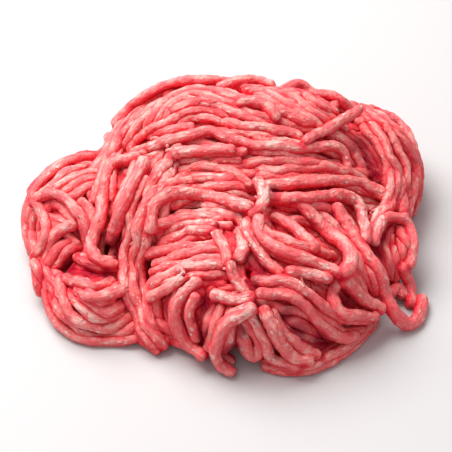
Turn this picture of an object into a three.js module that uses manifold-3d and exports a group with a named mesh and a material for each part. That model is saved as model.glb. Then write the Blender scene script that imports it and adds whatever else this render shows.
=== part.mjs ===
// A heap of raw minced meat as it fell from a mincer: one lump of pressed strands.
// Millimetres, +Z up, the surface that it lies on at z = 0, the origin under the middle of its box.
// The camera of the picture that it was worked out from looks along +Y and down by VIEW_TILT.
//
// How it is built:
// 1. The mound is a smooth join of ellipsoid lobes. The centre lines of the outer strands lie on it.
// 2. A sheaf is a few strands side by side. Its guide is drawn in mm on a board through the heap's
//    middle, square to the line of sight, and is pressed along that line onto the mound.
// 3. Strands are laid one after another, and each rests on the mound, the table or those before it.
// 4. The solid is the mound's lobes with the strands that show fused on.

import * as THREE from 'three'
import { mergeVertices } from 'three/addons/utils/BufferGeometryUtils.js'
import Module from 'manifold-3d'

const STRAND = 4.3            // diameter of a strand, from a mincer plate with 4.5 mm holes
const STEP = 1.5              // spacing of the points on a laid strand
const VIEW_TILT = 45          // degrees that the main view looks down
const EYE_OUT = 650           // from the middle of the board to the eye
const AIM = [0, 0, 20]        // middle of every board
const SHIFT = [0.4, -5.7, 0]   // from the mound's own zero to the part's origin

// The mound's lobes: centre, radii, and turn about z in degrees
const LOBES = [
  { name: 'back', at: [2, 36, 12], radii: [53, 35, 39], turn: -4 },
  { name: 'back right', at: [30, 41, 12], radii: [30, 27, 36], turn: 0 },
  { name: 'right rear', at: [62, 43, 9], radii: [18, 27, 25], turn: 10 },
  { name: 'saddle', at: [14, 6, 8], radii: [44, 30, 30], turn: 0 },
  { name: 'front', at: [10, -24, 10], radii: [43, 32, 27], turn: -2 },
  { name: 'front right', at: [40, -24, 6], radii: [22, 20, 18], turn: 0 },
  { name: 'left', at: [-58, 14, 9], radii: [22, 31, 20], turn: 8 },
  { name: 'low left', at: [-52, -25, 5], radii: [20, 18, 15], turn: 0 },
  { name: 'notch', at: [-26, -38, 3], radii: [14, 14, 8], turn: 0 },
  { name: 'right', at: [60, -3, 8], radii: [13, 21, 15], turn: -20 },
  { name: 'left shoulder', at: [-30, 8, 10], radii: [24, 32, 30], turn: 20 },
]
const BLEND = 2               // how softly the lobes run together

// Views that sheaves are drawn in: azimuth (0 looks along +Y) and tilt, in degrees
const VIEWS = {
  front: [0, VIEW_TILT],
  rear: [180, 30],
  'left side': [250, 30],
  'right side': [95, 30],
  'right front': [60, 30],
}

// How strands lie
const CONTACT = 0.7           // they sink into each other to this part of their thickness
const SINK = 0.85             // and into the table to this part of their radius
const NEAR_MISS = 2.2 * STRAND  // a guide that passes the mound by less still hugs it
const PILE = 14               // the highest that strands pile up on the mound
const SETTLE = 10             // but the higher a sheaf lies, the deeper it settles into those below
const LOOSE = 30              // and a lone strand hardly does
const STEEPEST = 0.9          // a strand leaves a ledge no steeper than this, against the board
const SLACK = 0.6             // where it spans a gap it's no farther than this above what carries it
const PRESS = 0.8             // and it's pressed no deeper than this into the mound
const APART = 0.9 * STRAND    // how far a sheaf's strands are apart
const CROSS = 5               // how much nearer or farther one of them gets along the sheaf
const THINNEST = 0.88         // the thinnest strand of a sheaf, as a part of STRAND
const LONE_THINNEST = 1       // and the thinnest lone strand
const SPREAD = 0.3            // and how much more the thickest is
const SLOW_SWAY = { out: 0.8, length: 26, more: 20 }    // a strand strays to a side this far,
const QUICK_SWAY = { out: 0.6, length: 10, more: 7 }    // in waves of this length or more
const LONE_SWAY = 0.5         // a lone strand strays this much of it
const RAGGED = 9              // how far the ends of a sheaf's strands are apart
const TUCK = 4                // the end of a strand goes this deep between the others
const TUCK_LENGTH = 9         // over this length
const UNTUCKED = 0.2          // the part of the ends that stay out
const SHORTEST = 4            // a strand with fewer points is left out
const DRAWS = 11              // numbers drawn for each strand
const SEED_STEP = 7           // between the draws of sheaves with nearly the same name
const FACING = 0.3            // sheaves of other views stop where the mound turns to the main view
const OFF_MOUND = 1.2 * STRAND  // and where they would leave the mound by more than this

// How soft a line is made: the number of times that each point is drawn to its neighbours
const BLURS = { taut: 5, depth: 3, line: 2, side: 12 }

// The walk along a line of sight to the mound's skin
const WALK = { start: EYE_OUT - 110, tries: 80, careful: 0.8, least: 0.1, touch: 0.02 }

const SLOPE_STEP = 0.5        // half the span over which the mound's slope is taken

// The solid's own measures
const SIDES = 5               // sides of a strand's section
const FLATS = 1.06            // they are set out a little, to keep the strand's girth
const CLEAR = 1.3 * STRAND    // strands that the solid shows keep this distance
const CROWDED = 0.4           // for all but this part of their length
const BOW = 0.9               // how far a strand's straight stretches may cut a bend
const CORE_LIFT = -0.6        // the core's skin is this far out of the mound's
const LOBE_AROUND = 18        // facets around a lobe
const LOBE_UP = 9             // and from pole to pole
const FINE = 24               // points on a smooth line between two of its guide's points
const WELD = 1e-4             // corners closer than this are one
const TINY = 1e-9             // keeps a division from being by zero
const HASH = [12.9898, 4.1414, 43758.5453]  // stretch numbers so that their fractions look drawn

// Sheaves of strands from the bottom of the heap to its top: view, name, strands, guide on the board
const SHEAVES = [
  ['rear', 'rear crest', 4, [-46, 4], [-8, 12], [34, 5]],
  ['rear', 'rear fall left', 6, [26, 6], [44, -12], [40, -40]],
  ['rear', 'rear fall right', 5, [-26, 6], [-42, -14], [-36, -42]],
  ['rear', 'rear garland', 6, [-34, -2], [0, -16], [36, -4]],
  ['rear', 'rear apron', 5, [-26, -26], [4, -38], [30, -28]],
  ['rear', 'rear foot', 3, [-46, -38], [-4, -49], [40, -43]],
  ['rear', 'rear curtain', 6, [-50, -4], [-66, -20], [-62, -50]],
  ['rear', 'rear left lobe', 5, [42, -37], [60, -36], [75, -41]],
  ['left side', 'left flank', 5, [-30, -22], [-4, -14], [24, -24]],
  ['left side', 'left flank foot', 3, [-30, -36], [0, -40], [34, -36]],
  ['left side', 'left flank rim', 3, [-30, -47], [0, -53], [36, -46]],
  ['right side', 'right flank', 6, [8, -2], [38, 0], [62, -30]],
  ['right side', 'right flank foot', 3, [-16, -36], [18, -36], [60, -34]],
  ['right side', 'right flank rim', 3, [8, -50], [36, -53], [62, -45]],
  ['right front', 'right front flank', 4, [-36, -18], [-10, -16], [6, -30]],
  ['front', 'skyline left', 2, [-43, 42], [-24, 56], [3, 57]],
  ['front', 'skyline knob', 1, [-4, 55], [10, 58.5], [19, 55.5]],
  ['front', 'skyline wave', 1, [22, 53.5], [29, 57], [35, 52.5], [43, 52], [51, 46]],
  ['front', 'skyline right', 3, [10, 53], [28, 50], [48, 40]],
  ['front', 'shoulder left', 4, [-49, 12], [-45, 31], [-31, 47]],
  ['front', 'shoulder up', 4, [-43, 24], [-34, 43], [-12, 54]],
  ['front', 'crest hollow', 3, [-4, 51], [14, 45], [30, 38]],
  ['front', 'crest bundle', 4, [6, 54.5], [22, 51.5], [32, 45.5], [43, 37]],
  ['front', 'crest inside', 3, [-30, 36], [-14, 46], [6, 43], [28, 37]],
  ['front', 'crest sweep', 3, [-33, 34], [-24, 48], [-12, 52.5], [3, 48], [35, 34.5]],
  ['front', 'crest short', 1, [4, 49], [14, 49], [20.5, 42]],
  ['front', 'curtain outer', 4, [51, 49], [67, 39], [75.5, 27], [76.5, 14], [72, 1]],
  ['front', 'curtain inner', 3, [51, 45], [62, 36], [68.5, 21], [68, 4]],
  ['front', 'row one', 3, [-38, 31], [-26, 37], [-11, 40]],
  ['front', 'row low', 3, [-40, 24], [-16, 32], [4, 32], [36, 27]],
  ['front', 'row six up', 2, [-11, 41], [2, 39.5], [18, 36.5], [38, 32.5]],
  ['front', 'row fan one', 3, [2, 33], [24, 30], [40, 26], [51, 20]],
  ['front', 'right end two', 1, [40, 36], [50, 31.5], [55, 17]],
  ['front', 'row fan two', 2, [4, 27.5], [24, 26], [38, 23.5], [52, 18.5]],
  ['front', 'row long', 1, [-38, 29], [-9, 38], [0, 35], [26, 31], [44, 32], [49.5, 21]],
  ['front', 'row fan three', 3, [-4, 22], [20, 22], [38, 20.5], [56, 15]],
  ['front', 'cross strand', 1, [31, 33], [44, 41], [54.5, 47.5]],
  ['front', 'left rim', 2, [-46, 28], [-62.5, 26], [-77.5, 13], [-79.3, -5], [-73.5, -18.5]],
  ['front', 'left inside', 3, [-48, 22], [-64, 18], [-75, 5], [-76, -10]],
  ['front', 'left floor', 4, [-73, 6], [-63, 3], [-53, -4]],
  ['front', 'left tail', 4, [-58, -2], [-70, -11], [-73, -26]],
  ['front', 'left foot', 2, [-76, -12], [-75, -20], [-69, -31]],
  ['front', 'left arc', 1, [-77, 11], [-71.5, -2], [-77, -13]],
  ['front', 'left ridge', 3, [-68, 11], [-58, 17.5], [-47, 17]],
  ['front', 'left hook', 1, [-60, 9], [-54, 5], [-51, -3]],
  ['front', 'left over', 1, [-79, 9], [-68, 13], [-58, 4], [-54.5, -13]],
  ['front', 'low arcs', 5, [-62, -19], [-60, -31], [-49, -38], [-35, -29]],
  ['front', 'low arcs high', 2, [-64, -20], [-51, -26.5], [-38, -22]],
  ['front', 'low bridge', 2, [-59, -11], [-49, -15.5], [-36, -15]],
  ['front', 'stream root', 3, [-39, 38], [-46, 25], [-50, 6]],
  ['front', 'stream hook', 1, [-34, 28], [-46, 24], [-49.5, 8], [-54, -8], [-50, -14], [-43, -15]],
  ['front', 'stream', 3, [-21, 30], [-33, 10], [-36.5, -14]],
  ['front', 'stream left', 2, [-29, 30], [-40, 13], [-44, -3]],
  ['front', 'stream end', 1, [-32, 27], [-40.5, 9], [-46.5, -7]],
  ['front', 'stream right', 3, [-14, 28], [-26, 13], [-31, -9]],
  ['front', 'saddle two', 4, [-22, 23], [-4, 24], [14, 27]],
  ['front', 'saddle one', 1, [-22, 29], [-10, 30.5], [4, 30]],
  ['front', 'row seven', 2, [4, 19], [32, 21], [52, 19], [69, 8]],
  ['front', 'row six', 1, [8, 15], [34, 18], [50, 18], [62, 12.5], [66, 8], [61, 4], [58, -8]],
  ['front', 'right low', 4, [65, -1], [68, -9], [70, -20]],
  ['front', 'right tail', 1, [70, -15], [73.5, -24], [74, -32]],
  ['front', 'right cap', 2, [57, 14], [67, 11], [73, 2]],
  ['front', 'right curl', 1, [59, -8], [63, 2.5], [72, 2], [74.5, -8], [73, -17]],
  ['front', 'right arch', 1, [66, -28], [69, -23.5], [71, -29]],
  ['front', 'front edge left', 3, [-27, 20], [-35, 2], [-37, -20], [-31, -39], [-21, -47]],
  ['front', 'front drop', 2, [-21, -17], [-29.5, -30], [-24, -45]],
  ['front', 'foot hairpin', 1, [3, -37], [8, -49], [12, -53], [13, -45], [7, -36]],
  ['front', 'foot left', 3, [-6, -24], [-18, -33], [-11, -51]],
  ['front', 'foot right', 3, [14, -31], [27, -42], [42, -48]],
  ['front', 'foot middle', 3, [3, -28], [-3, -41], [-3, -54]],
  ['front', 'foot rim', 2, [14, -56], [33, -57], [53, -45], [61, -33]],
  ['front', 'low right', 3, [8, -25], [31, -31], [46, -41], [58, -39]],
  ['front', 'right skirt', 3, [43, 3], [53, -13], [60, -33]],
  ['front', 'fan left', 4, [3, 0], [-13, -1], [-32, -10]],
  ['front', 'fan left two', 3, [3, -10], [-14, -11], [-33, -18]],
  ['front', 'fan low', 2, [2, -18], [-13, -18], [-29, -26]],
  ['front', 'hollow right', 3, [20, 7], [37, 4], [50, -8]],
  ['front', 'fan right', 3, [8, 5], [18, -7], [34, -13], [47, -18]],
  ['front', 'top rows', 5, [-27, 8], [-10, 12], [13, 8]],
  ['front', 'top back', 3, [-22, 17], [-6, 19.5], [10, 15]],
  ['front', 'foot oblique', 1, [-17, -20], [-24, -25], [-31, -30]],
  ['front', 'foot short', 1, [-11, -27], [-14.5, -36], [-11, -46]],
  ['front', 'foot inner', 1, [-2, -31], [-5, -40], [-7, -50]],
  ['front', 'foot bend', 1, [-10, -21], [-19.5, -30], [-17.5, -44], [-8, -53]],
  ['front', 'foot sweep low', 1, [10, -35], [15, -45], [18, -53], [30, -56]],
  ['front', 'foot sweep high', 1, [18, -33], [25, -45], [38, -52]],
  ['front', 'foot sweep', 1, [14, -32], [21, -44], [27, -53], [35, -54]],
  ['front', 'knot one', 1, [-4, -2], [-1.5, -8], [1, -16]],
  ['front', 'knot two', 1, [5, -1], [7, -7], [4, -14]],
  ['front', 'knot three', 1, [1, -14], [4, -22], [10, -30]],
  ['front', 'knot four', 1, [-6, -26], [2, -29], [12, -28]],
  ['front', 'fan right low', 1, [9, 3], [9, -3], [14, -12], [23, -19]],
  ['front', 'foot prominent', 1, [12, -32], [2, -37], [-3, -46], [-3, -55], [4, -59]],
  ['front', 'right sweep low', 1, [12, -27], [27, -28], [37, -39], [47, -45], [53, -43]],
  ['front', 'right sweep', 1, [10, -22], [26, -23], [37, -30], [45, -36.5], [58, -38]],
  ['front', 'right hook', 1, [48, -16], [42.5, -27], [46, -34.5], [61, -36]],
  ['front', 'right cast', 1, [46, -20], [54, -27.5], [63, -34]],
  ['front', 'right stub', 1, [24, -19], [33, -19], [43, -20.5]],
  ['front', 'fan short', 1, [18, 4], [27, -1], [37, -10]],
  ['front', 'fan ridge', 1, [12, 4], [15, -5], [28, -12], [47, -19]],
  ['front', 'fan prominent', 1, [14, 11.5], [30, 8.5], [38, 0], [47, -7], [50, -14], [46, -20]],
  ['front', 'right edge', 1, [22, 11], [49, 11.5], [55, 3], [56, -7]],
  ['front', 'loose loop', 1, [43, 9], [50, -2], [60, -17], [65, -31], [71.5, -39], [77, -36.5],
    [78.5, -28]],
  ['front', 'top left row', 3, [4, 0], [-15, 0], [-30, -6]],
  ['front', 'top hook', 1, [12, 19], [15, 9], [9, 4]],
  ['front', 'top corner', 1, [-30, -3], [-28.5, 9], [-20, 13.5], [-4, 11], [11, 7]],
]

const radians = THREE.MathUtils.degToRad

// The same draw for the same number, between 0 and 1
function chance(n) {
  const v = Math.sin(n * HASH[0] + HASH[1]) * HASH[2]
  return v - Math.floor(v)
}

// Signed distance to the mound, in mm: below zero inside
function moundDistance(x, y, z) {
  const near = LOBES.map(({ at, radii, turn }) => {
    const c = Math.cos(radians(turn))
    const s = Math.sin(radians(turn))
    const [dx, dy, dz] = [x - at[0], y - at[1], z - at[2]]
    const q = [dx * c + dy * s, dy * c - dx * s, dz]
    const k0 = Math.hypot(...q.map((v, i) => v / radii[i]))
    const k1 = Math.hypot(...q.map((v, i) => v / radii[i] ** 2))
    return k0 * (k0 - 1) / Math.max(k1, TINY)
  })
  const least = Math.min(...near)
  return least - BLEND * Math.log(near.reduce((sum, v) => sum + Math.exp((least - v) / BLEND), 0))
}

function moundNormal(p) {
  const e = SLOPE_STEP
  return new THREE.Vector3(
    moundDistance(p.x + e, p.y, p.z) - moundDistance(p.x - e, p.y, p.z),
    moundDistance(p.x, p.y + e, p.z) - moundDistance(p.x, p.y - e, p.z),
    moundDistance(p.x, p.y, p.z + e) - moundDistance(p.x, p.y, p.z - e),
  ).normalize()
}

// A board through the middle of the heap, square to the line of sight
function makeBoard([azimuth, tilt]) {
  const [a, t] = [radians(azimuth), radians(tilt)]
  const ahead = new THREE.Vector3(-Math.sin(a), Math.cos(a), 0)
  const high = new THREE.Vector3(0, 0, 1)
  const right = new THREE.Vector3(Math.cos(a), Math.sin(a), 0)
  const up = ahead.clone().multiplyScalar(Math.sin(t)).addScaledVector(high, Math.cos(t))
  const back = high.clone().multiplyScalar(Math.sin(t)).addScaledVector(ahead, -Math.cos(t))
  const aim = new THREE.Vector3(...AIM)
  return { aim, right, up, back, eye: aim.clone().addScaledVector(back, EYE_OUT) }
}

const BOARDS = Object.fromEntries(Object.entries(VIEWS).map(([name, angles]) => [name, makeBoard(angles)]))

// The line of sight through a place on the board, and how far along it the mound or the table is
function meetMound(board, [a, b], radius) {
  const ray = board.aim.clone().addScaledVector(board.right, a).addScaledVector(board.up, b)
  ray.sub(board.eye).normalize()
  const table = (radius * SINK - board.eye.z) / ray.z
  let far = WALK.start
  let least = Infinity
  let leastFar = far
  for (let i = 0; i < WALK.tries && least >= WALK.touch; i++) {
    const p = board.eye.clone().addScaledVector(ray, far)
    const d = moundDistance(p.x, p.y, p.z)
    if (d < least) {
      least = d
      leastFar = far
    }
    far += Math.max(d * WALK.careful, WALK.least)
  }
  return { ray, far: Math.min(least < NEAR_MISS ? leastFar : Infinity, table) }
}

// A smooth line through points of any dimension, sampled evenly
function smoothLine(points, step) {
  const dim = points[0].length
  const mix = (f) => Array.from({ length: dim }, (_, k) => f(k))
  const n = points.length
  let first = mix((k) => 2 * points[0][k] - points[1][k])
  let last = mix((k) => 2 * points[n - 1][k] - points[n - 2][k])
  if (n === 3) {
    const bend = mix((k) => points[0][k] - 2 * points[1][k] + points[2][k])
    first = mix((k) => first[k] + bend[k])
    last = mix((k) => last[k] + bend[k])
  }
  const all = [first, ...points, last]
  const fine = []
  for (let i = 1; i < all.length - 2; i++) {
    for (let j = 0; j < FINE; j++) {
      const t = j / FINE
      const [p, q, r, s] = all.slice(i - 1, i + 3)
      fine.push(mix((k) => 0.5 * (2 * q[k] + (r[k] - p[k]) * t
        + (2 * p[k] - 5 * q[k] + 4 * r[k] - s[k]) * t ** 2
        + (3 * q[k] - p[k] - 3 * r[k] + s[k]) * t ** 3)))
    }
  }
  fine.push(points[n - 1])
  return evenSteps(fine, step)
}

// The same line with points at even steps
function evenSteps(line, step) {
  const run = [0]
  for (let i = 1; i < line.length; i++) {
    run.push(run[i - 1] + Math.hypot(...line[i].map((v, k) => v - line[i - 1][k])))
  }
  const total = run[run.length - 1]
  const count = Math.max(SHORTEST, Math.round(total / step) + 1)
  const even = []
  let i = 1
  for (let j = 0; j < count; j++) {
    const want = total * j / (count - 1)
    while (i < line.length - 1 && run[i] < want) {
      i++
    }
    const t = (want - run[i - 1]) / Math.max(run[i] - run[i - 1], TINY)
    even.push(line[i].map((v, k) => line[i - 1][k] + (v - line[i - 1][k]) * Math.min(t, 1)))
  }
  return even
}

// Each value drawn towards its neighbours
function blur(values, times) {
  let v = values
  for (let i = 0; i < times; i++) {
    v = v.map((x, k) => (k === 0 || k === v.length - 1 ? x : (v[k - 1] + 2 * x + v[k + 1]) / 4))
  }
  return v
}

// Depths that never fall away faster than a strand bends: it spans a gap instead
function bridge(depths) {
  const span = [...depths]
  for (let i = 1; i < span.length; i++) {
    span[i] = Math.min(span[i], span[i - 1] + STEEPEST * STEP)
  }
  for (let i = span.length - 2; i >= 0; i--) {
    span[i] = Math.min(span[i], span[i + 1] + STEEPEST * STEP)
  }
  return span
}

const laid = []

// How far along a line of sight a strand first touches one that lies there already
function meetStrands(board, ray, radius) {
  let far = Infinity
  for (const [x, y, z, r] of laid) {
    const w = [x - board.eye.x, y - board.eye.y, z - board.eye.z]
    const along = w[0] * ray.x + w[1] * ray.y + w[2] * ray.z
    const aside2 = w[0] ** 2 + w[1] ** 2 + w[2] ** 2 - along ** 2
    const gap = ((radius + r) * CONTACT) ** 2 - aside2
    if (gap > 0) {
      far = Math.min(far, along - Math.sqrt(gap))
    }
  }
  return far
}

// The longest stretch of a line whose points pass a test
function longestRun(line, passes) {
  let best = []
  let run = []
  line.forEach((point, i) => {
    run = passes(point, i) ? [...run, point] : []
    if (run.length > best.length) {
      best = run
    }
  })
  return best
}

// Lays one strand along a route on the board and gives its centre line. Tucks are 1 for an end that dives
function layStrand(board, route, { radius, tucks, settle }) {
  const met = route.map((ab) => meetMound(board, ab, radius))
  const bare = met.map((m) => m.far)
  const raw = met.map((m, i) => {
    const top = meetStrands(board, m.ray, radius)
    const lift = top > bare[i] - PILE ? Math.max(bare[i] - top, 0) : 0
    return bare[i] - settle * (1 - Math.exp(-lift / settle))
  })
  const taut = blur(bridge(raw), BLURS.taut).map((far, i) => Math.min(far, raw[i] + SLACK))
  const depth = blur(taut, BLURS.depth).map((far, i) => {
    const fromEnds = [i * STEP, (taut.length - 1 - i) * STEP]
    const dive = fromEnds.map((run, end) => tucks[end] * TUCK * Math.max(1 - run / TUCK_LENGTH, 0) ** 2)
    return Math.min(far, bare[i] + PRESS) + dive[0] + dive[1]
  })
  const line = met.map((m, i) => {
    const p = board.eye.clone().addScaledVector(m.ray, depth[i])
    return [p.x, p.y, Math.max(p.z, radius * SINK)]
  })
  const even = evenSteps(line, STEP)
  const soft = [0, 1, 2].map((k) => blur(even.map((p) => p[k]), BLURS.line))
  let points = even.map((_, i) => soft.map((column) => column[i]))
  if (board !== BOARDS.front) {
    points = longestRun(points, (p) => moundDistance(...p) < OFF_MOUND)
  }
  laid.push(...points.map((p) => [...p, radius]))
  return points
}

// How far a strand strays to a side at a place along its length, in a wave of a drawn length and start
function sway(run, { out, length, more }, longer, start) {
  return out * Math.sin(2 * Math.PI * (run / (length + more * longer) + start))
}

// Lays a sheaf: the guide's neighbours lie beside it on the mound's skin, with ragged ends
function laySheaf([view, name, count, ...guide]) {
  const board = BOARDS[view]
  const line = smoothLine(guide, STEP)
  const onMound = line.map((ab) => {
    const { ray, far } = meetMound(board, ab, STRAND / 2)
    return board.eye.clone().addScaledVector(ray, far)
  })
  const sideways = onMound.map((p, i) => {
    const before = onMound[Math.max(i - 1, 0)]
    const after = onMound[Math.min(i + 1, onMound.length - 1)]
    return moundNormal(p).cross(after.clone().sub(before)).normalize()
  })
  const sideA = blur(sideways.map((s) => s.dot(board.right)), BLURS.side)
  const sideB = blur(sideways.map((s) => s.dot(board.up)), BLURS.side)
  const hidden = onMound.map((p) => moundNormal(p).dot(BOARDS.front.back) < FACING
    && moundDistance(p.x, p.y, p.z) < STRAND)
  const seed = [...name].reduce((sum, letter) => sum + letter.charCodeAt(0), 0) * SEED_STEP
  const sheaf = count > 1
  const strands = []
  for (let k = 0; k < count; k++) {
    const draws = Array.from({ length: DRAWS }, (_, j) => chance(seed + k * DRAWS + j))
    const [girth, cutFirst, cutLast, slant, longSlow, startSlow, longQuick, startQuick, tuckA, tuckB] = draws
    const radius = STRAND / 2 * ((sheaf ? THINNEST : LONE_THINNEST) + SPREAD * girth)
    let route = line.map(([a, b], i) => {
      const u = i / (line.length - 1)
      const run = u * line.length * STEP
      const aside = (k - (count - 1) / 2) * APART + (sheaf ? CROSS * (slant - 0.5) * (2 * u - 1) : 0)
      const stray = sway(run, SLOW_SWAY, longSlow, startSlow) + sway(run, QUICK_SWAY, longQuick, startQuick)
      const off = aside + (sheaf ? 1 : LONE_SWAY) * stray
      return [a + sideA[i] * off, b + sideB[i] * off]
    })
    if (view !== 'front') {
      route = longestRun(route, (_, i) => hidden[i])
    }
    let tucks = [0, 0]
    if (sheaf) {
      const [first, last] = [cutFirst, cutLast].map((cut) => Math.floor(cut * RAGGED / STEP))
      route = route.slice(first, route.length - last)
      tucks = [tuckA, tuckB].map((draw) => (draw > UNTUCKED ? 1 : 0))
    }
    if (route.length >= SHORTEST) {
      const points = layStrand(board, route, { radius, tucks, settle: sheaf ? SETTLE : LOOSE })
      if (points.length >= SHORTEST) {
        strands.push({ points, radius })
      }
    }
  }
  return strands
}

// A three.js geometry as a solid
function solidOf(wasm, geometry) {
  const bare = geometry.clone()
  bare.deleteAttribute('normal')
  bare.deleteAttribute('uv')
  const merged = mergeVertices(bare, WELD)
  const index = [...merged.index.array]
  const triangles = []
  for (let i = 0; i < index.length; i += 3) {
    const [a, b, c] = index.slice(i, i + 3)
    if (a !== b && b !== c && c !== a) {
      triangles.push(a, b, c)
    }
  }
  return new wasm.Manifold(new wasm.Mesh({
    numProp: 3,
    vertProperties: new Float32Array(merged.attributes.position.array),
    triVerts: new Uint32Array(triangles),
  }))
}

function lobeGeometry({ at, radii, turn }) {
  const ball = new THREE.SphereGeometry(1, LOBE_AROUND, LOBE_UP)
  ball.rotateX(Math.PI / 2)
  ball.scale(...radii.map((r) => r + CORE_LIFT))
  ball.rotateZ(radians(turn))
  ball.translate(...at)
  return ball
}

// The strands that the solid shows: the longest first, each one clear of the others for most of its length
function pickShown(strands) {
  const picked = []
  for (const strand of [...strands].sort((p, q) => q.points.length - p.points.length)) {
    const crowded = strand.points.filter(([x, y, z]) => picked.some((other) => other.points.some(
      (q) => Math.hypot(q[0] - x, q[1] - y, q[2] - z) < CLEAR)))
    if (crowded.length < CROWDED * strand.points.length) {
      picked.push(strand)
    }
  }
  return picked
}

// The fewest points of a line that keep it within BOW of its place
function fewPoints(points) {
  const [first, last] = [points[0], points[points.length - 1]].map((p) => new THREE.Vector3(...p))
  const chord = new THREE.Line3(first, last)
  const spot = new THREE.Vector3()
  let most = 0
  let at = 0
  for (let i = 1; i < points.length - 1; i++) {
    const p = new THREE.Vector3(...points[i])
    const away = chord.closestPointToPoint(p, true, spot).distanceTo(p)
    if (away > most) {
      most = away
      at = i
    }
  }
  if (most < BOW) {
    return [points[0], points[points.length - 1]]
  }
  return [...fewPoints(points.slice(0, at + 1)).slice(0, -1), ...fewPoints(points.slice(at))]
}

// A strand as a tube with SIDES flats, with one section at each of its few points
function strandGeometry({ points, radius }) {
  const few = fewPoints(points).map((p) => new THREE.Vector3(...p))
  if (few.length === 2) {
    few.splice(1, 0, new THREE.Vector3(...points[Math.floor(points.length / 2)]))
  }
  const section = new THREE.Shape()
  for (let i = 0; i < SIDES; i++) {
    const turn = 2 * Math.PI * i / SIDES
    const [x, y] = [radius * FLATS * Math.cos(turn), radius * FLATS * Math.sin(turn)]
    if (i === 0) {
      section.moveTo(x, y)
    } else {
      section.lineTo(x, y)
    }
  }
  section.closePath()
  const path = new THREE.CatmullRomCurve3(few)
  path.getPointAt = (u) => path.getPoint(u)
  path.getTangentAt = (u) => path.getTangent(u)
  return new THREE.ExtrudeGeometry(section, {
    steps: few.length - 1,
    extrudePath: path,
    bevelEnabled: false,
  })
}

// Joins the pieces two by two, keeps the largest body's outer skin and cuts it flat at the table
function joinAll(solids) {
  let row = solids
  while (row.length > 1) {
    const next = []
    for (let i = 0; i < row.length; i += 2) {
      next.push(i + 1 < row.length ? row[i].add(row[i + 1]) : row[i])
    }
    row = next
  }
  const flat = row[0].trimByPlane([0, 0, 1], 0)
  const bodies = flat.decompose()
  bodies.sort((p, q) => q.volume() - p.volume())
  return bodies[0]
}

const wasm = await Module()
wasm.setup()

const strands = SHEAVES.flatMap(laySheaf)
const shown = pickShown(strands)
const solids = [...LOBES.map(lobeGeometry), ...shown.map(strandGeometry)].map((g) => solidOf(wasm, g))
const lump = joinAll(solids)
const { vertProperties, triVerts } = lump.getMesh()

const geometry = new THREE.BufferGeometry()
geometry.setAttribute('position', new THREE.BufferAttribute(vertProperties, 3))
geometry.setIndex(new THREE.BufferAttribute(triVerts, 1))
geometry.translate(...SHIFT)
geometry.computeVertexNormals()

const meat = new THREE.MeshStandardMaterial({ color: 0xd9706c, roughness: 0.45, metalness: 0 })
const heap = new THREE.Mesh(geometry, meat)
heap.name = 'mince_heap'

const group = new THREE.Group()
group.add(heap)
export default group
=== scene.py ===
# %% [markdown]
# # A heap of raw minced meat
#
# The real thing is half a kilogram of meat pressed through a mincer plate. Soft strands a little thinner
# than a pencil fell in loops, slumped into a few rounded lobes and stuck to each other. There is no dish:
# the heap lies on its own flat underside.
#
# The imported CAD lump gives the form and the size. Here strands replace it one by one, laid by the rules
# that made the lump. One row, "right saddle", is laid here alone.

import math

import bmesh
import bpy
import numpy as np
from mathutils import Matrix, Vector
from mathutils.kdtree import KDTree


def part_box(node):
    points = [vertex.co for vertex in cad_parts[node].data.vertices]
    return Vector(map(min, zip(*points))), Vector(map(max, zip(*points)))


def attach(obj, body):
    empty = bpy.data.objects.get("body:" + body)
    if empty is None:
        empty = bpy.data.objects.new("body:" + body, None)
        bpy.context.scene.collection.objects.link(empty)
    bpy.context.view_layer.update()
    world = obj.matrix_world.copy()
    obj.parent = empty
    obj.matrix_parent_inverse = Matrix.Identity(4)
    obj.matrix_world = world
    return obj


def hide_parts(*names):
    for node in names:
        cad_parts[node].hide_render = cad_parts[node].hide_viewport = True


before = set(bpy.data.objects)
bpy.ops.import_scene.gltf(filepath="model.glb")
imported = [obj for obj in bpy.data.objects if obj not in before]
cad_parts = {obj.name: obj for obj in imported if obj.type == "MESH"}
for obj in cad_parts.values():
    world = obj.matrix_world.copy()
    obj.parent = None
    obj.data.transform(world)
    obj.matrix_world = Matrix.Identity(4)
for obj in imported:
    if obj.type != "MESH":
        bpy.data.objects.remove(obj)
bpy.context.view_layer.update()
NODE = "mince_heap"
low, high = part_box(NODE)
MM = 0.001
print("the lump is", [round(1000 * (high[k] - low[k]), 1) for k in range(3)], "mm")

# %% [markdown]
# ## The view
#
# The picture is taken from in front and above, about as far off as a person leans over a table. All
# routes are drawn on a board: a flat sheet through the middle of the heap, square to that line of sight.
# A place on the board is then a place in the picture, whatever the height of the meat.

# %% Sizes of the view, in millimetres and degrees
VIEW_TILT = 45  # how far the camera looks down
SIDE_TILT = 30  # and how far the eyes of the other boards do
EYE_OUT = 650  # from the aim to the eye
AIM = np.array([0.0, 0.0, 20.0])
SHIFT = np.array([0.4, -5.7, 0])  # from the mound's own zero to the lump's origin
FRAME_WIDTH = 180.8  # what the picture takes in at the board
SENSOR = 36.0
TINY = 1e-9  # keeps a division from meeting zero


def unit(vectors):
    """The same directions, each one long."""
    return vectors / np.maximum(np.linalg.norm(vectors, axis=-1, keepdims=True), TINY)


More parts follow.
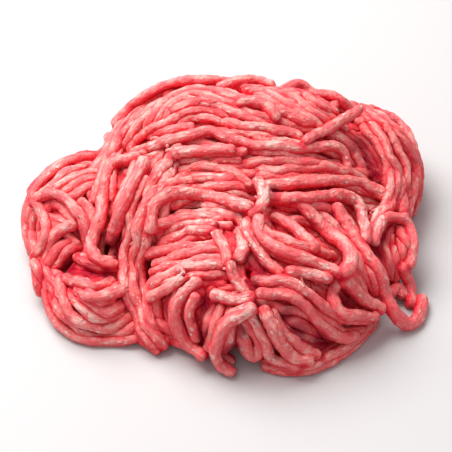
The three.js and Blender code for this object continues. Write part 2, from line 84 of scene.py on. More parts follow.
class Board:
    """A sheet through AIM, square to the line of sight of an eye at this azimuth and tilt."""

    def __init__(self, azimuth, tilt):
        turn, lean = math.radians(azimuth), math.radians(tilt)
        ahead = np.array([-math.sin(turn), math.cos(turn), 0.0])
        upright = np.array([0.0, 0.0, 1.0])
        self.right = np.array([math.cos(turn), math.sin(turn), 0.0])
        self.up = ahead * math.sin(lean) + upright * math.cos(lean)
        self.back = upright * math.sin(lean) - ahead * math.cos(lean)
        self.eye = AIM + self.back * EYE_OUT

    def rays(self, places):
        """Directions from the eye through places on the board."""
        return unit(AIM + places[:, :1] * self.right + places[:, 1:] * self.up - self.eye)

    def places(self, points):
        """Where points in space are seen on the board."""
        off = points - self.eye
        scale = -EYE_OUT / (off @ self.back)
        return np.stack([(off @ self.right) * scale, (off @ self.up) * scale], -1)


BOARDS = {
    "front": Board(0, VIEW_TILT),
    "rear": Board(180, SIDE_TILT),
    "left side": Board(250, SIDE_TILT),
    "right side": Board(95, SIDE_TILT),
    "right front": Board(60, SIDE_TILT),
}

# %% Camera
def place_object(name, data):
    """A new object of this data, in the scene."""
    placed = bpy.data.objects.new(name, data)
    bpy.context.collection.objects.link(placed)
    return placed


camera_data = bpy.data.cameras.new("camera")
camera_data.sensor_width = SENSOR
camera_data.lens = SENSOR * EYE_OUT / FRAME_WIDTH
camera = place_object("camera", camera_data)
camera.location = (BOARDS["front"].eye + SHIFT) * MM
camera.rotation_euler = (math.radians(90 - VIEW_TILT), 0, 0)
bpy.context.scene.camera = camera
print("lens", round(camera_data.lens, 1), "mm")

# %% [markdown]
# ## Floor and light
#
# Moist meat shows its form by soft, broad highlights and by the dark gaps between strands. One large
# lamp behind and to the left gives the highlights, a weaker one in front opens the shadows, and the sky
# light fills the rest. The floor is plain and pale, so it throws some light back under the edge.

# %% Floor and lamps, in metres and watts
FLOOR_SIZE = 1.6
FLOOR_GREY = (0.56, 0.55, 0.54)
FLOOR_ROUGHNESS = 0.7
LAMP_SIZE = 0.70
LAMP_AIM = Vector((0, 0, 0.02))
SKY_COLOUR = (1.0, 0.93, 0.98)
SKY_STRENGTH = 0.48


def floor_material():
    """A plain matt grey, for what isn't part of the meat."""
    material = bpy.data.materials.new("pale_floor")
    material.use_nodes = True
    shader = material.node_tree.nodes["Principled BSDF"]
    shader.inputs["Base Color"].default_value = (*FLOOR_GREY, 1)
    shader.inputs["Roughness"].default_value = FLOOR_ROUGHNESS
    return material


def lay_floor():
    """One flat square under the heap."""
    bm = bmesh.new()
    bmesh.ops.create_grid(bm, x_segments=1, y_segments=1, size=FLOOR_SIZE / 2)
    mesh = bpy.data.meshes.new("floor")
    bm.to_mesh(mesh)
    bm.free()
    floor = place_object("floor", mesh)
    mesh.materials.append(floor_material())


def lamp(name, place, power):
    """A square soft lamp that faces the heap."""
    light = bpy.data.lights.new(name, "AREA")
    light.size = LAMP_SIZE
    light.energy = power
    holder = place_object(name, light)
    holder.location = place
    holder.rotation_euler = (Vector(place) - LAMP_AIM).to_track_quat("Z", "Y").to_euler()
    print(name, power, "W")


lay_floor()
lamp("key lamp", place=(-0.30, 0.30, 0.72), power=12.4)
lamp("front lamp", place=(-0.20, -0.70, 0.70), power=0.8)
world = bpy.data.worlds.new("studio")
world.use_nodes = True
sky = world.node_tree.nodes["Background"]
sky.inputs["Color"].default_value = (*SKY_COLOUR, 1)
sky.inputs["Strength"].default_value = SKY_STRENGTH
bpy.context.scene.world = world
bpy.context.scene.view_settings.view_transform = "Standard"

# %% [markdown]
# ## The mound
#
# Under the strands the heap is a few rounded lobes that run into each other. Each lobe is an ellipsoid.
# A smooth minimum of their distances gives one skin, and the centre lines of the outer strands lie on
# it. Writing the mound as a distance, not as a mesh, lets a strand ask at any place how far off it is.

# %% Lobes of the mound, in millimetres: centre, radii, and turn about the vertical in degrees
LOBES = {
    "back": ((2, 36, 12), (53, 35, 39), -4),
    "back right": ((30, 41, 12), (30, 27, 36), 0),
    "right rear": ((62, 43, 9), (18, 27, 25), 10),
    "saddle": ((14, 6, 8), (44, 30, 30), 0),
    "front": ((10, -24, 10), (43, 32, 27), -2),
    "front right": ((40, -24, 6), (22, 20, 18), 0),
    "left": ((-58, 14, 9), (22, 31, 20), 8),
    "low left": ((-52, -25, 5), (20, 18, 15), 0),
    "notch": ((-26, -38, 3), (14, 14, 8), 0),
    "right": ((60, -3, 8), (13, 21, 15), -20),
    "left shoulder": ((-30, 8, 10), (24, 32, 30), 20),
}
BLEND = 2.0  # how far the lobes run into each other
FEEL = 0.5  # the mound is felt this far to each side for its slope
LOBE_CENTRES = np.array([row[0] for row in LOBES.values()], float)
LOBE_RADII = np.array([row[1] for row in LOBES.values()], float)
LOBE_TURNS = np.radians([row[2] for row in LOBES.values()])


def mound_distance(points):
    """Signed distance to the mound's skin, in mm: below zero inside."""
    off = points[:, None, :] - LOBE_CENTRES
    cos, sin = np.cos(LOBE_TURNS), np.sin(LOBE_TURNS)
    turned = np.stack([off[..., 0] * cos + off[..., 1] * sin,
                       off[..., 1] * cos - off[..., 0] * sin, off[..., 2]], -1)
    k0 = np.linalg.norm(turned / LOBE_RADII, axis=-1)
    k1 = np.linalg.norm(turned / LOBE_RADII ** 2, axis=-1)
    near = k0 * (k0 - 1) / np.maximum(k1, TINY)
    least = near.min(-1)
    return least - BLEND * np.log(np.exp((least[:, None] - near) / BLEND).sum(-1))


def mound_normal(points):
    """The way out of the mound at each point."""
    steps = np.eye(3) * FEEL
    return unit(np.stack([mound_distance(points + e) - mound_distance(points - e) for e in steps], -1))


print(len(LOBES), "lobes")

# %% [markdown]
# ## Sheaves
#
# Strands come out of the plate side by side, so neighbours run together for a while: that is a sheaf.
# Each row below is one sheaf: the board that it is drawn on, unless that is the front one, how many
# strands it has, and its guide in millimetres, right and up from the middle. Three places make an arc.
# An uneven route, a hook or a loop has more.

# %% Sheaves on the sides that the picture doesn't show, from the bottom to the top
FAR_SHEAVES = {
    "rear crest": ("rear", 4, (-46, 4), (-8, 12), (34, 5)),
    "rear fall left": ("rear", 6, (26, 6), (44, -12), (40, -40)),
    "rear fall right": ("rear", 5, (-26, 6), (-42, -14), (-36, -42)),
    "rear garland": ("rear", 6, (-34, -2), (0, -16), (36, -4)),
    "rear apron": ("rear", 5, (-26, -26), (4, -38), (30, -28)),
    "rear foot": ("rear", 3, (-46, -38), (-4, -49), (40, -43)),
    "rear curtain": ("rear", 6, (-50, -4), (-66, -20), (-62, -50)),
    "rear left lobe": ("rear", 5, (42, -37), (60, -36), (75, -41)),
    "left flank": ("left side", 5, (-30, -22), (-4, -14), (24, -24)),
    "left flank foot": ("left side", 3, (-30, -36), (0, -40), (34, -36)),
    "left flank rim": ("left side", 3, (-30, -47), (0, -53), (36, -46)),
    "right flank": ("right side", 6, (8, -2), (38, 0), (62, -30)),
    "right flank foot": ("right side", 3, (-16, -36), (18, -36), (60, -34)),
    "right flank rim": ("right side", 3, (8, -50), (36, -53), (62, -45)),
    "right front flank": ("right front", 4, (-36, -18), (-10, -16), (6, -30)),
}

# %% Sheaves of the front board, from the bottom to the top
FRONT_SHEAVES = {
    "skyline left": (2, (-43, 42), (-24, 56), (3, 57)),
    "skyline knob": (1, (-4, 55), (10, 58.5), (19, 55.5)),
    "skyline wave": (1, (22, 53.5), (29, 57), (35, 52.5), (43, 52), (51, 46)),
    "skyline right": (3, (10, 53), (28, 50), (48, 40)),
    "shoulder left": (4, (-49, 12), (-45, 31), (-31, 47)),
    "shoulder up": (4, (-43, 24), (-34, 43), (-12, 54)),
    "crest hollow": (3, (-4, 51), (14, 45), (30, 38)),
    "crest bundle": (4, (6, 54.5), (22, 51.5), (32, 45.5), (43, 37)),
    "crest inside": (3, (-30, 36), (-14, 46), (6, 43), (28, 37)),
    "crest sweep": (3, (-33, 34), (-24, 48), (-12, 52.5), (3, 48), (35, 34.5)),
    "crest short": (1, (4, 49), (14, 49), (20.5, 42)),
    "curtain outer": (4, (51, 49), (67, 39), (75.5, 27), (76.5, 14), (72, 1)),
    "curtain inner": (3, (51, 45), (62, 36), (68.5, 21), (68, 4)),
    "row one": (3, (-38, 31), (-26, 37), (-11, 40)),
    "row low": (3, (-40, 24), (-16, 32), (4, 32), (36, 27)),
    "row six up": (2, (-11, 41), (2, 39.5), (18, 36.5), (38, 32.5)),
    "row fan one": (3, (2, 33), (24, 30), (40, 26), (51, 20)),
    "right end two": (1, (40, 36), (50, 31.5), (55, 17)),
    "row fan two": (2, (4, 27.5), (24, 26), (38, 23.5), (52, 18.5)),
    "row long": (1, (-38, 29), (-9, 38), (0, 35), (26, 31), (44, 32), (49.5, 21)),
    "row fan three": (3, (-4, 22), (20, 22), (38, 20.5), (56, 15)),
    "cross strand": (1, (31, 33), (44, 41), (54.5, 47.5)),
    "left rim": (2, (-46, 28), (-62.5, 26), (-77.5, 13), (-79.3, -5), (-73.5, -18.5)),
    "left inside": (3, (-48, 22), (-64, 18), (-75, 5), (-76, -10)),
    "left floor": (4, (-73, 6), (-63, 3), (-53, -4)),
    "left tail": (4, (-58, -2), (-70, -11), (-73, -26)),
    "left foot": (2, (-76, -12), (-75, -20), (-69, -31)),
    "left arc": (1, (-77, 11), (-71.5, -2), (-77, -13)),
    "left ridge": (3, (-68, 11), (-58, 17.5), (-47, 17)),
    "left hook": (1, (-60, 9), (-54, 5), (-51, -3)),
    "left over": (1, (-79, 9), (-68, 13), (-58, 4), (-54.5, -13)),
    "low arcs": (5, (-62, -19), (-60, -31), (-49, -38), (-35, -29)),
    "low arcs high": (2, (-64, -20), (-51, -26.5), (-38, -22)),
    "low bridge": (2, (-59, -11), (-49, -15.5), (-36, -15)),
    "stream root": (3, (-39, 38), (-46, 25), (-50, 6)),
    "stream hook": (1, (-34, 28), (-46, 24), (-49.5, 8), (-54, -8), (-50, -14), (-43, -15)),
    "stream": (3, (-21, 30), (-33, 10), (-36.5, -14)),
    "stream left": (2, (-29, 30), (-40, 13), (-44, -3)),
    "stream end": (1, (-32, 27), (-40.5, 9), (-46.5, -7)),
    "stream right": (3, (-14, 28), (-26, 13), (-31, -9)),
    "saddle two": (4, (-22, 23), (-4, 24), (14, 27)),
    "saddle one": (1, (-22, 29), (-10, 30.5), (4, 30)),
    "right saddle": (3, (44, 13), (56, 11), (66, 5)),
    "row seven": (2, (4, 19), (32, 21), (52, 19), (69, 8)),
    "row six": (1, (8, 15), (34, 18), (50, 18), (62, 12.5), (66, 8), (61, 4), (58, -8)),
    "right low": (4, (65, -1), (68, -9), (70, -20)),
    "right tail": (1, (70, -15), (73.5, -24), (74, -32)),
    "right cap": (2, (57, 14), (67, 11), (73, 2)),
    "right curl": (1, (59, -8), (63, 2.5), (72, 2), (74.5, -8), (73, -17)),
    "right arch": (1, (66, -28), (69, -23.5), (71, -29)),
    "front edge left": (3, (-27, 20), (-35, 2), (-37, -20), (-31, -39), (-21, -47)),
    "front drop": (2, (-21, -17), (-29.5, -30), (-24, -45)),
    "foot hairpin": (1, (3, -37), (8, -49), (12, -53), (13, -45), (7, -36)),
    "foot left": (3, (-6, -24), (-18, -33), (-11, -51)),
    "foot right": (3, (14, -31), (27, -42), (42, -48)),
    "foot middle": (3, (3, -28), (-3, -41), (-3, -54)),
    "foot rim": (2, (14, -56), (33, -57), (53, -45), (61, -33)),
    "low right": (3, (8, -25), (31, -31), (46, -41), (58, -39)),
    "right skirt": (3, (43, 3), (53, -13), (60, -33)),
    "fan left": (4, (3, 0), (-13, -1), (-32, -10)),
    "fan left two": (3, (3, -10), (-14, -11), (-33, -18)),
    "fan low": (2, (2, -18), (-13, -18), (-29, -26)),
    "hollow right": (3, (20, 7), (37, 4), (50, -8)),
    "fan right": (3, (8, 5), (18, -7), (34, -13), (47, -18)),
    "top rows": (5, (-27, 8), (-10, 12), (13, 8)),
    "top back": (3, (-22, 17), (-6, 19.5), (10, 15)),
    "foot oblique": (1, (-17, -20), (-24, -25), (-31, -30)),
    "foot short": (1, (-11, -27), (-14.5, -36), (-11, -46)),
    "foot inner": (1, (-2, -31), (-5, -40), (-7, -50)),
    "foot bend": (1, (-10, -21), (-19.5, -30), (-17.5, -44), (-8, -53)),
    "foot sweep low": (1, (10, -35), (15, -45), (18, -53), (30, -56)),
    "foot sweep high": (1, (18, -33), (25, -45), (38, -52)),
    "foot sweep": (1, (14, -32), (21, -44), (27, -53), (35, -54)),
    "knot one": (1, (-4, -2), (-1.5, -8), (1, -16)),
    "knot two": (1, (5, -1), (7, -7), (4, -14)),
    "knot three": (1, (1, -14), (4, -22), (10, -30)),
    "knot four": (1, (-6, -26), (2, -29), (12, -28)),
    "fan right low": (1, (9, 3), (9, -3), (14, -12), (23, -19)),
    "foot prominent": (1, (12, -32), (2, -37), (-3, -46), (-3, -55), (4, -59)),
    "right sweep low": (1, (12, -27), (27, -28), (37, -39), (47, -45), (53, -43)),
    "right sweep": (1, (10, -22), (26, -23), (37, -30), (45, -36.5), (58, -38)),
    "right hook": (1, (48, -16), (42.5, -27), (46, -34.5), (61, -36)),
    "right cast": (1, (46, -20), (54, -27.5), (63, -34)),
    "right stub": (1, (24, -19), (33, -19), (43, -20.5)),
    "fan short": (1, (18, 4), (27, -1), (37, -10)),
    "fan ridge": (1, (12, 4), (15, -5), (28, -12), (47, -19)),
    "fan prominent": (1, (14, 11.5), (30, 8.5), (38, 0), (47, -7), (50, -14), (46, -20)),
    "right edge": (1, (22, 11), (49, 11.5), (55, 3), (56, -7)),
    "loose loop": (1, (43, 9), (50, -2), (60, -17), (65, -31), (71.5, -39), (77, -36.5), (78.5, -28)),
    "top left row": (3, (4, 0), (-15, 0), (-30, -6)),
    "top hook": (1, (12, 19), (15, 9), (9, 4)),
    "top corner": (1, (-30, -3), (-28.5, 9), (-20, 13.5), (-4, 11), (11, 7)),
}
SHEAVES = FAR_SHEAVES | {name: ("front", *row) for name, row in FRONT_SHEAVES.items()}
print(len(SHEAVES), "sheaves,", sum(row[1] for row in SHEAVES.values()), "strands")

# %% [markdown]
# ## Laying the strands
#
# A strand drawn on the board has no depth yet. It gets it by falling: along the line of sight it stops
# at the first thing it meets, which is the mound, the table or a strand that already lies there. Then it
# is made as stiff as meat is: it spans gaps, and sharp steps are blurred. It stays where the picture has
# it, and it rests on what carries it, seen from any side.

# %% The search for the mound along a line of sight, in millimetres
START_BEFORE = 110.0  # it starts this far before the board
SEARCH_STEPS = 80
STRIDE = 0.8  # a step goes this part of the distance left
SHORTEST_STEP = 0.1
TOUCHING = 0.02  # it ends this close
NOWHERE = 1e9

# %% How strands lie, in millimetres
STRAND = 4.3  # thickness of a strand
STEP = 1.5  # spacing of the points on its centre line
FEWEST = 4  # a strand has at least this many points
GUIDE_PARTS = 24  # a guide is worked out in this many parts from place to place
CONTACT = 0.70  # strands sink into each other to this part of their thickness
SINK = 0.85  # and into the table to this part of their radius
NEAR_MISS = 2.2 * STRAND  # a guide that passes the mound by less still hugs it
PILE = 14  # the highest that strands pile up on the mound
SETTLE = 10.0  # but the higher a sheaf lies, the deeper it settles into those below
LOOSE = 30.0  # and a single strand hardly does
STEEPEST = 0.9  # a strand leaves a ledge no steeper than this, against the board
DENT = 0.6  # made stiff, it goes no deeper than this into other strands
PRESS = 0.8  # and no deeper than this into the mound
APART = 0.90 * STRAND  # how far a sheaf's strands are apart
CROSS = 5.0  # and how much nearer or farther one of them gets along the sheaf
THINNEST = 0.88  # the thinnest strand of a sheaf, as a part of the usual thickness
UNEVEN = 0.30  # and how much thicker the thickest is
RAGGED = 9  # how far the ends of a sheaf's strands are apart
TUCK = 4.0  # the end of a strand goes this deep between the others
TUCK_LENGTH = 9.0  # over this length
UNTUCKED = 0.2  # this part of a sheaf's ends isn't tucked in
SLOW_SWAY = (0.8, 26, 20)  # how far a strand strays, its shortest wave, and how much longer others are
QUICK_SWAY = (0.6, 10, 7)
ALONE = 0.5  # a single strand strays by this part
FACING = 0.3  # sheaves of the other views stop where the mound turns to the camera
ASTRAY = 1.2 * STRAND  # and where a strand would leave the mound by more
DRAWS = 11  # numbers drawn for each strand

# %% How often each is blurred, which makes a strand stiff
BLUR_SAG = 5  # depths over a gap
BLUR_DEPTH = 3  # depths once more
BLUR_LINE = 2  # the finished line
BLUR_SIDE = 12  # which way a sheaf's neighbours lie


def chance(number):
    """The same draw for the same number, between 0 and 1."""
    value = math.sin(number * 12.9898 + 4.1414) * 43758.5453
    return value - math.floor(value)


def letters(name):
    """A number for a name, from which its draws start."""
    return sum(ord(letter) for letter in name)


def run_along(line):
    """How far along a line each of its points is."""
    return np.concatenate([[0], np.cumsum(np.linalg.norm(np.diff(line, axis=0), axis=1))])


def even_steps(line, step):
    """The same line with points at even steps."""
    run = run_along(line)
    wanted = np.linspace(0, run[-1], max(FEWEST, int(run[-1] / step + 0.5) + 1))
    return np.stack([np.interp(wanted, run, column) for column in line.T], 1)


def smooth_line(points, step):
    """A smooth line through the points, sampled evenly."""
    points = np.array(points, float)
    first = 2 * points[0] - points[1]
    last = 2 * points[-1] - points[-2]
    if len(points) == 3:
        bow = points[0] - 2 * points[1] + points[2]
        first, last = first + bow, last + bow
    points = np.vstack([first, points, last])
    fine = []
    t = np.arange(GUIDE_PARTS)[:, None] / GUIDE_PARTS
    for p, q, r, s in zip(points, points[1:], points[2:], points[3:]):
        fine.append(0.5 * (2 * q + (r - p) * t + (2 * p - 5 * q + 4 * r - s) * t ** 2
                           + (3 * q - p - 3 * r + s) * t ** 3))
    return even_steps(np.vstack([*fine, points[-2][None]]), step)


def blur(values, times):
    """Each value drawn towards its neighbours, the ends kept."""
    for _ in range(times):
        middle = (values[:-2] + 2 * values[1:-1] + values[2:]) / 4
        values = np.concatenate([values[:1], middle, values[-1:]])
    return values


def bridge(depths):
    """Depths that never fall away faster than a strand bends."""
    span = depths.copy()
    for i in range(1, len(span)):
        span[i] = min(span[i], span[i - 1] + STEEPEST * STEP)
    for i in range(len(span) - 2, -1, -1):
        span[i] = min(span[i], span[i + 1] + STEEPEST * STEP)
    return span


def meet_mound(board, places, radius):
    """Directions of sight, and how far along each the mound or the table is."""
    rays = board.rays(places)
    table = (radius * SINK - board.eye[2]) / rays[:, 2]
    far = np.full(len(places), EYE_OUT - START_BEFORE)
    least_far = far.copy()
    least = np.full(len(places), NOWHERE)
    for _ in range(SEARCH_STEPS):
        gap = mound_distance(board.eye + rays * far[:, None])
        closer = gap < least
        least[closer], least_far[closer] = gap[closer], far[closer]
        far = np.where(least < TOUCHING, far, far + np.maximum(gap * STRIDE, SHORTEST_STEP))
    return rays, np.minimum(np.where(least < NEAR_MISS, least_far, NOWHERE), table)


laid = np.zeros((0, 4))  # points of all strands laid so far, and their radii


def longest_run(line, wanted):
    """The longest stretch of a line where something holds."""
    edges = np.flatnonzero(np.diff(np.concatenate([[0], wanted.astype(int), [0]])))
    if len(edges) == 0:
        return line[:0]
    starts, ends = edges[::2], edges[1::2]
    best = np.argmax(ends - starts)
    return line[starts[best]:ends[best]]


def lay_strand(board, places, radius, tucks, settle):
    """Lays one strand along its places on the board and gives its centre line."""
    global laid
    rays, bare = meet_mound(board, places, radius)
    raw = bare.copy()
    if len(laid):
        off = laid[:, :3] - board.eye
        along = rays @ off.T
        aside = (off * off).sum(1)[None] - along ** 2
        gap = ((radius + laid[:, 3]) * CONTACT)[None] ** 2 - aside
        top = np.where(gap > 0, along - np.sqrt(np.maximum(gap, 0)), NOWHERE).min(1)
        lift = np.where(top > bare - PILE, np.maximum(bare - top, 0), 0)
        raw = bare - settle * (1 - np.exp(-lift / settle))
    taut = np.minimum(blur(bridge(raw), BLUR_SAG), raw + DENT)
    depth = np.minimum(blur(taut, BLUR_DEPTH), bare + PRESS)
    steps = np.arange(len(depth)) * STEP
    for end, way in ((steps, tucks[0]), (steps[::-1], tucks[1])):
        depth = depth + way * TUCK * np.clip(1 - end / TUCK_LENGTH, 0, 1) ** 2
    line = board.eye + rays * depth[:, None]
    line[:, 2] = np.maximum(line[:, 2], radius * SINK)
    line = even_steps(line, STEP)
    line = np.stack([blur(column, BLUR_LINE) for column in line.T], 1)
    if board is not BOARDS["front"]:
        line = longest_run(line, mound_distance(line) < ASTRAY)
    laid = np.vstack([laid, np.column_stack([line, np.full(len(line), radius)])])
    return line


def sheaf_on_mound(view, guide):
    """The guide on the board, which way its neighbours lie, and where it is hidden from the camera."""
    board = BOARDS[view]
    line = smooth_line(guide, STEP)
    rays, far = meet_mound(board, line, STRAND / 2)
    points = board.eye + rays * far[:, None]
    before = points[[0, *range(len(points) - 1)]]
    after = points[[*range(1, len(points)), len(points) - 1]]
    normals = mound_normal(points)
    sideways = unit(np.cross(normals, after - before))
    side = np.stack([blur(sideways @ way, BLUR_SIDE) for way in (board.right, board.up)], -1)
    hidden = (normals @ BOARDS["front"].back < FACING) & (mound_distance(points) < STRAND)
    return line, side, hidden


def sway(run, wave, size_draw, phase_draw):
    """One wave to the side along a strand, in mm."""
    amount, shortest, longer = wave
    return amount * np.sin(2 * math.pi * (run / (shortest + longer * size_draw) + phase_draw))


def wander(run, draws):
    """How far a strand strays to a side along its length, in mm."""
    return sway(run, SLOW_SWAY, *draws[:2]) + sway(run, QUICK_SWAY, *draws[2:])


def lay_sheaf(name, view, count, *guide):
    """Lays a sheaf: the guide's neighbours lie beside it on the skin, with ragged ends."""
    line, side, hidden = sheaf_on_mound(view, guide)
    seed = letters(name) * 7
    u = np.linspace(0, 1, len(line))
    rows = []
    for k in range(count):
        draws = [chance(seed + k * DRAWS + j) for j in range(DRAWS)]
        girth, cut_first, cut_last, slant = draws[:4]
        wandering = wander(u * len(line) * STEP, draws[4:8])
        if count > 1:
            aside = (k - (count - 1) / 2) * APART + CROSS * (slant - 0.5) * (2 * u - 1)
            offset = aside + wandering
            radius = STRAND / 2 * (THINNEST + UNEVEN * girth)
        else:
            offset = ALONE * wandering
            radius = STRAND / 2 * (1.0 + UNEVEN * girth)
        places = line + side * offset[:, None]
        if view != "front":
            places = longest_run(places, hidden)
        tucks, settle = (0, 0), LOOSE
        if count > 1:
            settle = SETTLE
            places = places[int(cut_first * RAGGED / STEP):len(places) - int(cut_last * RAGGED / STEP)]
            tucks = (draws[8] > UNTUCKED, draws[9] > UNTUCKED)
        if len(places) >= FEWEST:
            line_laid = lay_strand(BOARDS[view], places, radius, tucks, settle)
            if len(line_laid) >= FEWEST:
                rows.append((line_laid, radius, name))
    return rows


# %% Lay every sheaf
strands = [strand for name, row in SHEAVES.items() for strand in lay_sheaf(name, *row)]
print(len(strands), "strands laid,", round(sum(len(s[0]) for s in strands) * STEP / 1000, 1), "m in all")


# %% [markdown]
# ## The layer under them
#
# Between the outer strands one looks into the heap and sees more strands, darker because little light
# gets there. So each sheaf is laid once more, wider by a strand at each side and most of a strand deeper.
# A single strand gets it only where it lies on the mound. Nothing rests on these, and they need less
# detail.

# %% The hidden layer, in millimetres
UNDER = 3.4  # how much deeper it lies
UNDER_GIRTH = (0.9, 0.2)  # its thinnest strand as a part of the usual one, and what others add
UNDER_ASIDE = 0.3  # 0.5 would put its strands straight below
ON_MOUND = 1.0  # what lies on the mound is this close to it


def lay_under(name, view, count, *guide):
    """The same sheaf one layer deeper, wider by a strand at each side."""
    board = BOARDS[view]
    line, side, hidden = sheaf_on_mound(view, guide)
    seed = letters(name) * 11
    thinnest, more = UNDER_GIRTH
    u = np.linspace(0, 1, len(line))
    rows = []
    for k in range(-1, count + 1):
        radius = STRAND / 2 * (thinnest + more * chance(seed + k))
        aside = (k - count / 2 + UNDER_ASIDE) * STRAND
        offset = aside + np.sin(2 * math.pi * (u + chance(seed + 3 * k)))
        places = line + side * offset[:, None]
        if view != "front":
            places = places[hidden]
        if len(places) < FEWEST:
            continue
        rays, far = meet_mound(board, places, radius)
        points = board.eye + rays * blur(bridge(far), BLUR_SAG)[:, None]
        if count == 1:
            points = longest_run(points, mound_distance(points) < ON_MOUND)
        if len(points) < FEWEST:
            continue
        points = points - mound_normal(points) * UNDER
        points[:, 2] = np.maximum(points[:, 2], radius * SINK)
        rows.append((even_steps(points, STEP), radius, name))
    return rows


under_strands = [strand for name, row in SHEAVES.items() for strand in lay_under(name, *row)]
print(len(under_strands), "strands under them")

# %% [markdown]
# ## From a centre line to a strand
#
# A strand starts as a closed rod: a cone with equal ends, its long edges cut into rings. One such blank
# is made for each length, and every strand is a copy of a blank, bent along its centre line. A frame is
# carried along the line without twisting, so the rod doesn't wring. The rings close up towards the
# broken ends, and noise of three sizes pushes the skin in and out.

# %% Blanks
SIDES = 16
RING_STEP = 0.8
blanks = {}


def blank(rings, sides):
    """Places along (0 to 1) and around (radians) of a closed rod's vertices, and its faces."""
    if (rings, sides) not in blanks:
        bm = bmesh.new()
        bmesh.ops.create_cone(bm, cap_ends=True, segments=sides, radius1=1, radius2=1, depth=1)
        long_edges = [e for e in bm.edges if abs(e.verts[0].co.z - e.verts[1].co.z) > 0.5]
        bmesh.ops.subdivide_edges(bm, edges=long_edges, cuts=rings, use_grid_fill=True)
        bm.verts.index_update()
        along = np.array([v.co.z + 0.5 for v in bm.verts])
        around = np.array([math.atan2(v.co.y, v.co.x) for v in bm.verts])
        faces = [[v.index for v in f.verts] for f in bm.faces]
        bm.free()
        blanks[(rings, sides)] = (along, around, faces)
    return blanks[(rings, sides)]


# %% Noise on points
GRAIN_CELLS = 32  # the noise repeats after this many bumps
GRAIN = np.random.default_rng(5).random((GRAIN_CELLS,) * 3)


def lumps(points, size):
    """Smooth noise from -1 to 1 with bumps of this size, at points in mm."""
    spot = points / size
    cell = np.floor(spot).astype(int)
    part = spot - cell
    part = part * part * (3 - 2 * part)
    total = np.zeros(len(points))
    for corner in np.ndindex(2, 2, 2):
        at = (cell + corner) % GRAIN_CELLS
        weight = np.prod(np.where(corner, part, 1 - part), axis=1)
        total += weight * GRAIN[at[:, 0], at[:, 1], at[:, 2]]
    return total * 2 - 1


# %% Bend a blank along a centre line
END_PINCH = 0.6  # how much closer the rings stand at the ends
BLUNT = 0.3  # width of the broken end, as a part of the strand's
FEWEST_RINGS = 8
ASKEW = (0.31, 0.17, 0.93)  # no strand starts in this direction
GRAIN_SPREAD = 900  # strands take their lumps this far apart at most, in mm
# Lumps: part of the radius, size in mm, and pace around the rod
LUMPS = ((0.14, 9, 0.5), (0.17, 3.4, 1), (0.15, 1.5, 1))


def bend(line, radius, number, sides, ring_step):
    """Vertices in mm, faces, places on the strand if it was straight, and how far each faces out."""
    run = run_along(line)
    length = run[-1]
    rings = max(FEWEST_RINGS, 4 * round(length / ring_step / 4))
    along, around, faces = blank(rings, sides)
    s = length * (along - END_PINCH * np.sin(2 * math.pi * along) / (2 * math.pi))
    tangents = unit(np.gradient(line, axis=0))
    first = np.cross(tangents[0], ASKEW)
    sides_a = [first / np.linalg.norm(first)]
    for tangent in tangents[1:]:
        carried = sides_a[-1] - tangent * (sides_a[-1] @ tangent)
        sides_a.append(carried / np.linalg.norm(carried))
    sides_a = np.array(sides_a)
    sides_b = np.cross(tangents, sides_a)

    def at(columns):
        return np.stack([np.interp(s, run, column) for column in columns.T], 1)

    seed = chance(number) * GRAIN_SPREAD
    straight = np.stack([s, radius * np.cos(around), radius * np.sin(around)], 1)
    shifted = straight + [seed, 3 * seed, 0]
    into_end = np.clip(np.minimum(s, length - s) / radius, 0, 1)
    round_off = BLUNT + (1 - BLUNT) * np.sqrt(1 - (1 - into_end) ** 2)
    uneven = np.ones(len(s))
    for amount, size, pace in LUMPS:
        uneven += amount * lumps(shifted * [1, pace, pace], size)
    girth = radius * uneven * round_off
    out = np.cos(around)[:, None] * at(sides_a) + np.sin(around)[:, None] * at(sides_b)
    points = at(line) + girth[:, None] * out
    points[:, 2] = np.maximum(points[:, 2], 0)
    # crown: how far each point faces up and out; the material paints light and shade by it
    crown = (out * at(unit(mound_normal(line) + [0, 0, 1]))).sum(1)
    return points, faces, shifted, crown


# %% [markdown]
# Where two strands touch, shade falls in the groove, and it is painted into the colour as dark red:
# painted shade. To paint those lines, each point of a skin is given its distance to the nearest other
# strand, which a tree of the centre lines finds.

# %% Distance to the nearest other strand
NEAREST = 7  # so many points of the centre lines are looked at
WIDEST_GAP = 3.0  # in strand radii


def centre_tree():
    """The centre lines' points in a tree, and which strand each belongs to."""
    rows = [*strands, *under_strands]
    total = sum(len(row[0]) for row in rows)
    tree = KDTree(total)
    owners = np.zeros(total, int)
    index = 0
    for owner, (line, _, _) in enumerate(rows):
        for point in line:
            tree.insert(point, index)
            owners[index] = owner
            index += 1
    tree.balance()
    return tree, owners


CENTRES, OWNERS = centre_tree()


def gap_to_others(points, line, radius):
    """Distance in radii from each point to another strand. A shred counts as part of its carrier."""
    own = OWNERS[CENTRES.find(line[len(line) // 2])[1]]
    gaps = np.full(len(points), WIDEST_GAP)
    for i, point in enumerate(points):
        for _, index, distance in CENTRES.find_n(point, NEAREST):
            if OWNERS[index] != own:
                gaps[i] = distance / radius
                break
    return np.minimum(gaps, WIDEST_GAP)


